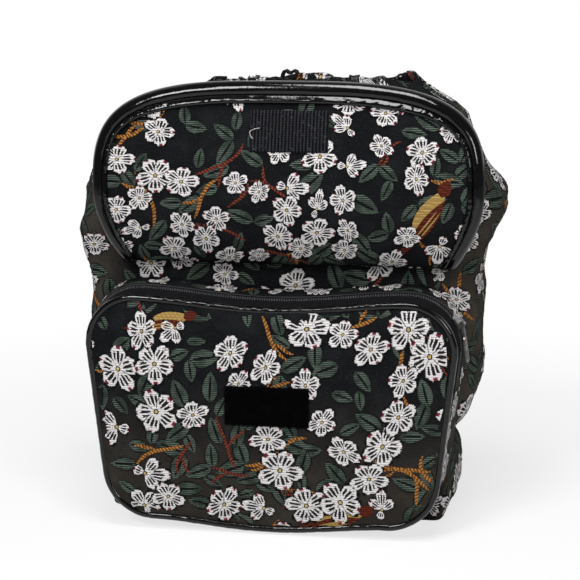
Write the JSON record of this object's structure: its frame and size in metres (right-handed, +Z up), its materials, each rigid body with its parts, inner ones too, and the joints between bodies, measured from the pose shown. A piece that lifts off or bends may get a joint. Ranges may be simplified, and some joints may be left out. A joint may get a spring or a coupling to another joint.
{
  "type": "backpack",
  "caption": "Soft woven floral backpack: gathered open top, bound front flap standing up, zipped front pocket with piping, padded shoulder straps and a hang loop.",
  "frame": {"origin": "centre of the sack's base, on the floor", "axes": "+Z up, -Y out of the front pocket, +X to the right as seen from the front"},
  "size_m": [0.3388, 0.2, 0.355],
  "materials": {
    "cloth": "matte woven floral cloth on a black ground",
    "base": "matte stiffened cloth",
    "vinyl": "glossy wrinkled black imitation leather",
    "hook_tape": "ribbed hook tape",
    "loop_tape": "fuzzy loop tape",
    "zip_tape": "fine herringbone tape",
    "zip_coil": "satin nylon coil",
    "zip_metal": "dark plated metal",
    "webbing": "ribbed webbing",
    "buckle": "moulded plastic",
    "ring_metal": "plated wire"
  },
  "bodies": {
    "bag": {"base_panel": "base", "back_panel": "cloth", "front_panel": "cloth", "left_gusset": "cloth", "right_gusset": "cloth", "gathered_collar": "cloth", "flap": "cloth", "flap_binding": "vinyl", "hook_patch": "hook_tape", "pocket_face_panel": "cloth", "pocket_piping": "vinyl", "pocket_gusset": "cloth", "loop_patch": "loop_tape", "zip_tape_front": "zip_tape", "zip_tape_rear": "zip_tape", "zip_coil_front": "zip_coil", "zip_coil_rear": "zip_coil", "zip_stops": "zip_metal", "strap_yoke": "vinyl", "hang_loop": "webbing", "shoulder_strap_left": "cloth", "shoulder_strap_right": "cloth", "strap_webbing_left": "webbing", "strap_webbing_right": "webbing", "strap_return_left": "webbing", "strap_return_right": "webbing", "anchor_ring_left": "ring_metal", "anchor_ring_right": "ring_metal", "anchor_tab_left": "vinyl", "anchor_tab_right": "vinyl"},
    "zip_slider": {"zip_slider": "zip_metal"},
    "zip_pull": {"zip_pull": "zip_metal"},
    "adjuster_left": {"strap_adjuster_left": "buckle"},
    "adjuster_right": {"strap_adjuster_right": "buckle"}
  },
  "joints": [
    {"name": "zip_slide", "type": "hinge", "parent": "bag", "child": "zip_slider", "pos_m": [0.104, -0.0768, 0.147], "axis": [0, -1, 0], "range_deg": [0, 56]},
    {"name": "pull_swing", "type": "hinge", "parent": "zip_slider", "child": "zip_pull", "pos_m": [0.14471, -0.07759, 0.16589], "axis": [-0.12, -0.9904, -0.0693], "range_deg": [0, 150]},
    {"name": "adjust_left", "type": "slide", "parent": "bag", "child": "adjuster_left", "axis": [0.2079, 0, 0.9781], "range_m": [0, 0.045]},
    {"name": "adjust_right", "type": "slide", "parent": "bag", "child": "adjuster_right", "axis": [-0.2079, 0, 0.9781], "range_m": [0, 0.045]}
  ]
}
